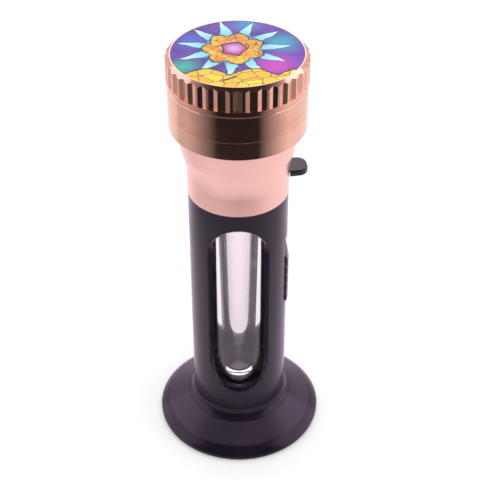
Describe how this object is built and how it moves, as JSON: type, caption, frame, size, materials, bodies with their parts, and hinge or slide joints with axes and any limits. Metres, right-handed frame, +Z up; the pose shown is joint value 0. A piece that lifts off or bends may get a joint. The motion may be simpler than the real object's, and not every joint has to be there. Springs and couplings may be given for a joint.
{
  "type": "hand grinder with storage tube",
  "caption": "Hand-turned herb grinder: knurled metal head over a windowed body, a lever-worked gate and a glass storage tube on a flared base.",
  "frame": {"origin": "centre of the underside, on the surface that the grinder stands on", "axes": "+Z up along the turning axis, -Y the front with the main window, +X the side with the thumb slider and the lever"},
  "size_m": [0.066, 0.066, 0.1692],
  "materials": {
    "rose_polished": "polished rose-gold anodised, fine turned lines",
    "rose_satin": "satin rose-gold anodised, the lower band turned bright",
    "rose_inner": "machined rose-gold anodised",
    "black_body": "satin black with a faint purple tint",
    "black_moulding": "matt black moulding",
    "gloss_black": "glossy black",
    "clear_glass": "clear polished borosilicate",
    "clear_plastic": "clear polished acrylic",
    "soft_pad": "matt black silicone",
    "foot_rubber": "matt black rubber",
    "slip_plastic": "waxy off-white low-friction plastic",
    "screw_steel": "plain steel",
    "magnet": "nickel-plated magnet",
    "label_print": "glossy printed disc with an abstract pattern"
  },
  "bodies": {
    "base": {"base_flange": "black_body", "base_cover": "black_moulding", "cover_screws": "screw_steel", "foot_ring": "foot_rubber", "tube_seat": "soft_pad", "glass_tube": "clear_glass"},
    "body": {"body_tube": "black_body", "window_liner": "clear_plastic"},
    "slider": {"thumb_slider": "gloss_black", "slider_carriage": "black_moulding", "mouth_seal": "soft_pad", "slider_screw": "screw_steel"},
    "neck": {"neck_housing": "rose_satin", "funnel_insert": "rose_inner", "gate_pivot": "screw_steel", "spout_insert": "black_moulding", "spout_screws": "screw_steel"},
    "gate": {"gate_disc": "black_moulding", "lever_tab": "gloss_black"},
    "chamber": {"grind_chamber": "rose_polished", "chamber_magnet": "magnet"},
    "slip_ring": {"slip_ring": "slip_plastic"},
    "lid": {"lid": "rose_polished", "lid_magnet": "magnet", "label_disc": "label_print"}
  },
  "joints": [
    {"name": "body_lift", "type": "slide", "parent": "base", "child": "body", "axis": [0, 0, 1], "range_m": [0, 0.09]},
    {"name": "slider_push", "type": "slide", "parent": "body", "child": "slider", "axis": [0, 0, 1], "range_m": [0, 0.008]},
    {"name": "neck_lift", "type": "slide", "parent": "body", "child": "neck", "axis": [0, 0, 1], "range_m": [0, 0.03]},
    {"name": "gate_swing", "type": "hinge", "parent": "neck", "child": "gate", "pos_m": [0, 0, 0.1198], "axis": [0, 0, 1], "range_deg": [0, 45]},
    {"name": "chamber_lift", "type": "slide", "parent": "neck", "child": "chamber", "axis": [0, 0, 1], "range_m": [0, 0.012]},
    {"name": "lid_lift", "type": "slide", "parent": "chamber", "child": "slip_ring", "axis": [0, 0, 1], "range_m": [0, 0.018]},
    {"name": "lid_spin", "type": "hinge", "parent": "slip_ring", "child": "lid", "pos_m": [0, 0, 0.163], "axis": [0, 0, 1], "continuous": true}
  ]
}
